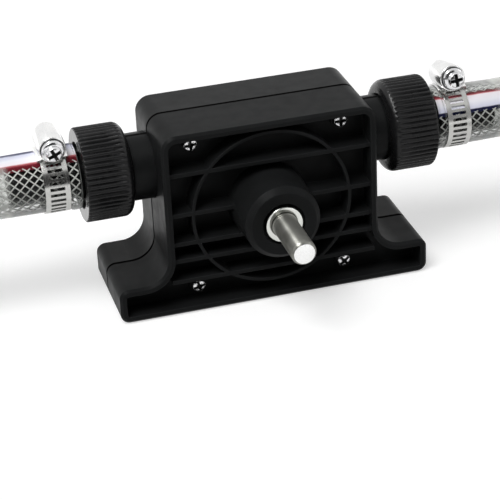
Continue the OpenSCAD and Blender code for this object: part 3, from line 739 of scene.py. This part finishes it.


# %% [markdown]
# The housing is black moulded plastic with a satin grain. Plain black would
# look like a hole, so the colour drifts a little, the grain breaks up the
# shine, and the edges are painted slightly paler than the faces, as a painted
# highlight. Where the two halves meet, painted shade for the groove makes the
# plastic beside it darker and duller. The nuts are smoother than the housing
# and shine more.

# %% Moulded plastics and rubber
# The width, fade and colour of the painted shade beside the parting line.
LINE_HALF, LINE_FADE, LINE_SHADE_COLOUR = 0.0005, 0.00025, (0.0006, 0.0006, 0.0006, 1)


def parting_shade_mask(nodes, links):
    """The mask of the painted shade: one beside the plane where the halves meet, and zero away
    from it.
    """
    place, split = nodes.new("ShaderNodeTexCoord"), nodes.new("ShaderNodeSeparateXYZ")
    links.new(place.outputs["Object"], split.inputs["Vector"])
    off = maths(nodes, links, "ABSOLUTE", split.outputs["Y"])
    return between(nodes, links, off, 1, 0, LINE_HALF, LINE_HALF + LINE_FADE)


def paint_parting_shade(half):
    """Paints shade on a finished housing half: dark and dull beside its parting line."""
    nodes, links = half.node_tree.nodes, half.node_tree.links
    shader, line = nodes["Principled BSDF"], parting_shade_mask(nodes, links)
    # Painted shade: a dark colour and full roughness beside the line.
    for key, painted_shade, kind in (("Base Color", LINE_SHADE_COLOUR, "RGBA"), ("Roughness", 1.0, "FLOAT")):
        plain = shader.inputs[key].links[0].from_socket
        links.new(mixed(nodes, links, line, plain, painted_shade, kind), shader.inputs[key])


def moulded(name, dark, pale, roughness, specular, grain, depth, radius=0.0005):
    """Black moulded plastic: drifting colour, fine grain and a painted highlight on the edges.
    """
    made, nodes, links, shader = finish_tree(name)
    colour = tints(nodes, links, cloud(nodes, links, 70), (0.3, dark), (0.75, pale))
    fine = cloud(nodes, links, grain, 2)
    rounded = soft_normal(nodes, links, shader, radius, fine, 0.25, depth)
    # The edges are painted paler than the faces: a painted highlight.
    edge = between(nodes, links, edge_light_mask(nodes, links, rounded), 0, 0.5, 0, 1)
    painted_edge_light = (*[2.5 * c for c in pale], 1)
    links.new(mixed(nodes, links, edge, colour, painted_edge_light), shader.inputs["Base Color"])
    links.new(between(nodes, links, cloud(nodes, links, 240), roughness - 0.05,
                      roughness + 0.06), shader.inputs["Roughness"])
    shader.inputs["Specular IOR Level"].default_value = specular
    return made


front_plastic = moulded("front_plastic", (0.0080, 0.0084, 0.0086),
                        (0.0120, 0.0126, 0.0130), 0.40, 0.045, 2600, 2.0e-5)
rear_plastic = moulded("rear_plastic", (0.0080, 0.0084, 0.0086),
                       (0.0120, 0.0126, 0.0130), 0.36, 0.065, 2600, 2.0e-5)
for half in (front_plastic, rear_plastic):
    paint_parting_shade(half)
nut_plastic = moulded("nut_plastic", (0.0070, 0.0070, 0.0074),
                      (0.0105, 0.0105, 0.0110), 0.27, 0.20, 3000, 1.0e-5, 0.00014)
nut_end_plastic = moulded("nut_end_plastic", (0.006, 0.006, 0.006),
                          (0.009, 0.009, 0.009), 0.15, 0.5, 3000, 0.8e-5)
tail_plastic = moulded("tail_plastic", (0.0020, 0.0020, 0.0022),
                       (0.0035, 0.0035, 0.0037), 0.22, 0.25, 1500, 1e-5)
rubber = moulded("rubber", (0.010, 0.010, 0.010), (0.019, 0.019, 0.019),
                 0.62, 0.25, 1800, 4e-5)
print("plastics:", front_plastic.name, nut_plastic.name, tail_plastic.name)

# %% [markdown]
# The steels differ by how they were made. The shaft was ground in a lathe, so
# its fine lines run round it, and an anisotropic shine that follows its map
# draws each light out into a streak. Its colour is painted dark, as painted
# shade for the black housing that its sides mirror. The clamps are bright
# rolled strip, and the screws are plated, with a soft cloud in the shine.

# %% Metals
SHINE_DRIFT = 0.05


def metal(name, dark, pale, roughness, lines, strength, radius=0.00015):
    """Metal with fine lines that run square to the long way of the stretch."""
    made, nodes, links, shader = finish_tree(name)
    shader.inputs["Metallic"].default_value = 1
    drift = cloud(nodes, links, 160)
    links.new(tints(nodes, links, drift, (0.3, dark), (0.7, pale)),
              shader.inputs["Base Color"])
    fine = cloud(nodes, links, 60, 4, lines)
    links.new(between(nodes, links, fine, roughness - SHINE_DRIFT, roughness + SHINE_DRIFT),
              shader.inputs["Roughness"])
    soft_normal(nodes, links, shader, radius, fine, strength, 3e-5)
    return made


# The shaft's dark colour is painted shade: its sides mirror the black housing.
shaft_steel = metal("shaft_steel", (0.17, 0.17, 0.155), (0.26, 0.26, 0.24),
                    0.40, (4, 60, 4), 0.12)
nodes, links = shaft_steel.node_tree.nodes, shaft_steel.node_tree.links
shader, round_it = nodes["Principled BSDF"], nodes.new("ShaderNodeTangent")
round_it.direction_type, round_it.uv_map = "UV_MAP", "UVMap"
links.new(round_it.outputs["Tangent"], shader.inputs["Tangent"])
shader.inputs["Anisotropic"].default_value = 0.8
shader.inputs["Anisotropic Rotation"].default_value = 0.25
faced_steel = metal("faced_steel", (0.80, 0.80, 0.79), (0.86, 0.86, 0.86),
                    0.26, (12, 12, 12), 0.05)
bush_steel = metal("bush_steel", (0.54, 0.55, 0.52), (0.66, 0.67, 0.64),
                   0.15, (12, 12, 12), 0.04)
screw_steel = metal("screw_steel", (0.60, 0.60, 0.61), (0.76, 0.76, 0.77),
                    0.20, (12, 12, 12), 0.06)
clamp_steel = metal("clamp_steel", (0.76, 0.76, 0.76), (0.88, 0.88, 0.87),
                    0.24, (50, 3, 3), 0.05)
band_steel = metal("band_steel", (0.42, 0.42, 0.41), (0.52, 0.52, 0.50),
                   0.22, (50, 3, 3), 0.03, 0.00008)
brass = metal("brass", (0.52, 0.36, 0.13), (0.68, 0.50, 0.22), 0.28,
              (6, 40, 6), 0.1)
bronze = metal("bronze", (0.30, 0.18, 0.09), (0.45, 0.29, 0.15), 0.45,
               (30, 30, 30), 0.3)

# %% [markdown]
# Clear soft plastic passes light nearly straight through and shines where it
# is seen at a slant. A transparent shader that tints the light slightly is
# mixed with a glossy one by the slant, and that costs far less time than
# bending the light as glass does. The yarn is off-white and matt, and the
# stripe's colours come from a ramp across its own map.

# %% Finishes of the hoses
MILKY_FROM, MILKY_TO, MILKY_SHARE = 0.0205, 0.0225, 0.32


def own_map(nodes, links):
    """A piece's own map: X is the share across it, Y the length along it."""
    reader = nodes.new("ShaderNodeUVMap")
    reader.uv_map = "UVMap"
    split = nodes.new("ShaderNodeSeparateXYZ")
    links.new(reader.outputs["UV"], split.inputs["Vector"])
    return split.outputs


def clear_vinyl():
    """The hose's wall, clear on the tail and slightly milky beyond it."""
    made, nodes, links, shader = finish_tree("clear_vinyl")
    gone = own_map(nodes, links)["Y"]
    haze = cloud(nodes, links, 220)
    milky = between(nodes, links, gone, 0, 1, MILKY_FROM, MILKY_TO)
    on_tail = tints(nodes, links, haze, (0.3, (0.34, 0.35, 0.34)), (0.7, (0.42, 0.43, 0.42)))
    beyond = tints(nodes, links, haze, (0.3, (0.68, 0.70, 0.66)), (0.7, (0.78, 0.79, 0.76)))
    links.new(mixed(nodes, links, milky, on_tail, beyond), shader.inputs["Base Color"])
    links.new(between(nodes, links, haze, 0.12, 0.22), shader.inputs["Roughness"])
    see = nodes.new("ShaderNodeBsdfTransparent")
    see.inputs["Color"].default_value = (0.965, 0.972, 0.965, 1)
    slant = nodes.new("ShaderNodeLayerWeight")
    slant.inputs["Blend"].default_value = 0.5
    share = between(nodes, links, slant.outputs["Facing"], 0.01, 0.78, 0.22, 0.66)
    least = between(nodes, links, milky, 0, MILKY_SHARE, 0, 1)
    blend = nodes.new("ShaderNodeMixShader")
    links.new(maths(nodes, links, "MAXIMUM", share, least), blend.inputs["Fac"])
    links.new(see.outputs["BSDF"], blend.inputs[1])
    links.new(shader.outputs["BSDF"], blend.inputs[2])
    links.new(blend.outputs["Shader"], nodes["Material Output"].inputs["Surface"])
    return made


def yarn():
    """Off-white braid."""
    made, nodes, links, shader = finish_tree("braid_yarn")
    fibre = cloud(nodes, links, 900)
    links.new(tints(nodes, links, fibre, (0.3, (0.50, 0.50, 0.48)),
                    (0.7, (0.70, 0.70, 0.68))), shader.inputs["Base Color"])
    shader.inputs["Roughness"].default_value = 0.7
    bump = nodes.new("ShaderNodeBump")
    bump.inputs["Strength"].default_value = 0.3
    bump.inputs["Distance"].default_value = 5e-5
    links.new(fibre, bump.inputs["Height"])
    links.new(bump.outputs["Normal"], shader.inputs["Normal"])
    return made


def stripe_colours():
    """Blue, white and red across the stripe's own map."""
    made, nodes, links, shader = finish_tree("hose_stripe")
    across = own_map(nodes, links)["X"]
    wander = maths(nodes, links, "MULTIPLY_ADD", cloud(nodes, links, 300), 0.05, across)
    links.new(tints(nodes, links, wander,
                    (0.02, (0.010, 0.013, 0.060)), (0.17, (0.016, 0.020, 0.085)),
                    (0.205, (0.66, 0.67, 0.80)), (0.50, (0.82, 0.82, 0.88)),
                    (0.80, (0.84, 0.78, 0.82)), (0.86, (0.50, 0.10, 0.12)),
                    (0.91, (0.18, 0.010, 0.02)), (1.0, (0.12, 0.007, 0.015))),
              shader.inputs["Base Color"])
    shader.inputs["Roughness"].default_value = 0.35
    shader.inputs["Specular IOR Level"].default_value = 0.08
    return made


clear_wall, braid_yarn, stripe_finish = clear_vinyl(), yarn(), stripe_colours()
for name in WALLS:
    WALLS[name].data.materials.append(clear_wall)
    BRAIDS[name].data.materials.append(braid_yarn)
    STRIPES[name].data.materials.append(stripe_finish)

# %% [markdown]
# The recesses in the screws, barrels and nuts lie in shade, and a dark finish
# makes that hold in any light. Each face was given the number of its finish
# when its piece was made, so a piece now takes its finishes in that order.

# %% Finishes of the turned and pressed pieces
in_recess, nodes, links, shader = finish_tree("recess_shadow")
shader.inputs["Metallic"].default_value = 0.6
links.new(tints(nodes, links, cloud(nodes, links, 400), (0.3, (0.010, 0.010, 0.010)),
                (0.7, (0.025, 0.024, 0.023))), shader.inputs["Base Color"])
shader.inputs["Roughness"].default_value = 0.6
in_nut = in_recess.copy()
in_nut.name = "nut_recess_shadow"
finishes_of = [(HOUSING_SCREWS, (screw_steel, in_recess)),
               (SHAFT, (shaft_steel, faced_steel)), (BUSH, (bush_steel,))]
for name in CLAMPS:
    finishes_of += [(CLAMP_SCREWS[name], (screw_steel, in_recess)),
                    (CLAMP_HOUSINGS[name], (clamp_steel, in_recess)),
                    (BANDS[name], (band_steel,)),
                    (NUTS[name], (nut_plastic, nut_end_plastic, in_nut))]
for piece, finishes in finishes_of:
    for finish in finishes:
        piece.data.materials.append(finish)

# %% [markdown]
# The CAD solids of the housing, the tails and the inner works have the right
# shape already, so they stay and only get their finish.

# %% Finishes of the CAD solids
FINISH_OF = {
    "front_housing": front_plastic, "rear_housing": rear_plastic,
    "chamber_seal": rubber, "shaft_seal": rubber, "impeller": rubber,
    "drive_pin": bush_steel, "rear_bush": bronze, "impeller_core": brass,
    "thrust_washer": screw_steel,
}
for side in ("inlet", "outlet"):
    FINISH_OF[side + "_tail"] = tail_plastic
    FINISH_OF[side + "_gasket"] = rubber
for node, finish in FINISH_OF.items():
    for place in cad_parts[node].material_slots:
        place.material = finish
    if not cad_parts[node].material_slots:
        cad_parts[node].data.materials.append(finish)
print("finished CAD solids:", len(FINISH_OF))

# %% [markdown]
# The pump stands on a wide white floor. To the camera and in reflections the
# floor also glows: strongly far off, where it should be plain white, and less
# than half as much near the pump, where its soft shadow stays. A large lamp hangs
# overhead, with a weaker one to each side. A fourth shows in reflections alone
# and draws the streak on the shaft. A dark card behind the camera gives the
# bright metal something to mirror, as in a studio, and ends to the right, so
# that the right clamp mirrors the white world. The camera doesn't see it.

# %% Floor, card, lamps and world
FLOOR_HALF, FLOOR_Z = 9, -0.0002
NEAR, FAR, NEAR_GLOW, FAR_GLOW = 0.16, 0.9, 0.50, 1.2
WORLD_SEEN, WORLD_LIGHT = 1.0, 0.35


def plate(name, corners):
    """A flat rectangle through four corners."""
    shape = bmesh.new()
    shape.faces.new([shape.verts.new(c) for c in corners])
    mesh = bpy.data.meshes.new(name)
    shape.to_mesh(mesh)
    shape.free()
    made = bpy.data.objects.new(name, mesh)
    bpy.context.scene.collection.objects.link(made)
    return made


floor = plate("floor", [(x * FLOOR_HALF, y * FLOOR_HALF, FLOOR_Z)
                        for x, y in ((-1, -1), (1, -1), (1, 1), (-1, 1))])
white_floor, nodes, links, shader = finish_tree("white_floor")
shader.inputs["Base Color"].default_value = (0.62, 0.62, 0.62, 1)
shader.inputs["Roughness"].default_value = 0.9
shader.inputs["Specular IOR Level"].default_value = 0.1
ray = nodes.new("ShaderNodeLightPath")
mirrored = maths(nodes, links, "MAXIMUM", ray.outputs["Is Glossy Ray"],
                 ray.outputs["Is Transmission Ray"])
seen = maths(nodes, links, "MAXIMUM", ray.outputs["Is Camera Ray"], mirrored)
where, away = nodes.new("ShaderNodeTexCoord"), nodes.new("ShaderNodeVectorMath")
away.operation = "LENGTH"
links.new(where.outputs["Object"], away.inputs[0])
glow = between(nodes, links, away.outputs["Value"], NEAR_GLOW, FAR_GLOW, NEAR, FAR)
shader.inputs["Emission Color"].default_value = (1, 1, 1, 1)
links.new(maths(nodes, links, "MULTIPLY", seen, glow), shader.inputs["Emission Strength"])
floor.data.materials.append(white_floor)

card = plate("dark_card", [(-4, -2.6, 0.05), (1.0, -2.6, 0.05), (1.0, -2.0, 2.4),
                           (-4, -2.0, 2.4)])
dark_card, nodes, links, shader = finish_tree("dark_card")
shader.inputs["Base Color"].default_value = (0.03, 0.03, 0.03, 1)
shader.inputs["Roughness"].default_value = 0.9
card.data.materials.append(dark_card)
card.visible_camera = False


def lamp(name, place, aim, size, power):
    """A white square lamp that hangs at place and points at aim."""
    data = bpy.data.lights.new(name, "AREA")
    data.shape, data.size, data.energy = "SQUARE", size, power
    made = bpy.data.objects.new(name, data)
    made.location = place
    way = Vector(aim) - Vector(place)
    made.rotation_euler = way.to_track_quat("-Z", "Y").to_euler()
    bpy.context.scene.collection.objects.link(made)
    return made


AT_PUMP = (0, 0, 0.03)
lamp("overhead", (-0.48, -0.42, 1.05), AT_PUMP, 0.6, 11)
lamp("left_fill", (-1.4, -0.6, 0.7), AT_PUMP, 0.9, 2)
lamp("right_fill", (1.2, -0.5, 0.8), (0.07, 0, 0.03), 0.4, 0.9)
strip = lamp("strip", (-0.5, 0.12, 1.0), AT_PUMP, 0.32, 7.0)
strip.visible_diffuse = False

world = bpy.data.worlds.new("studio")
bpy.context.scene.world = world
world.use_nodes = True
nodes, links = world.node_tree.nodes, world.node_tree.links
sky = nodes["Background"]
sky.inputs["Color"].default_value = (1, 1, 1, 1)
ray = nodes.new("ShaderNodeLightPath")
links.new(between(nodes, links, ray.outputs["Is Diffuse Ray"], WORLD_SEEN, WORLD_LIGHT, 0, 1),
          sky.inputs["Strength"])
bpy.context.scene.view_settings.view_transform = "Standard"
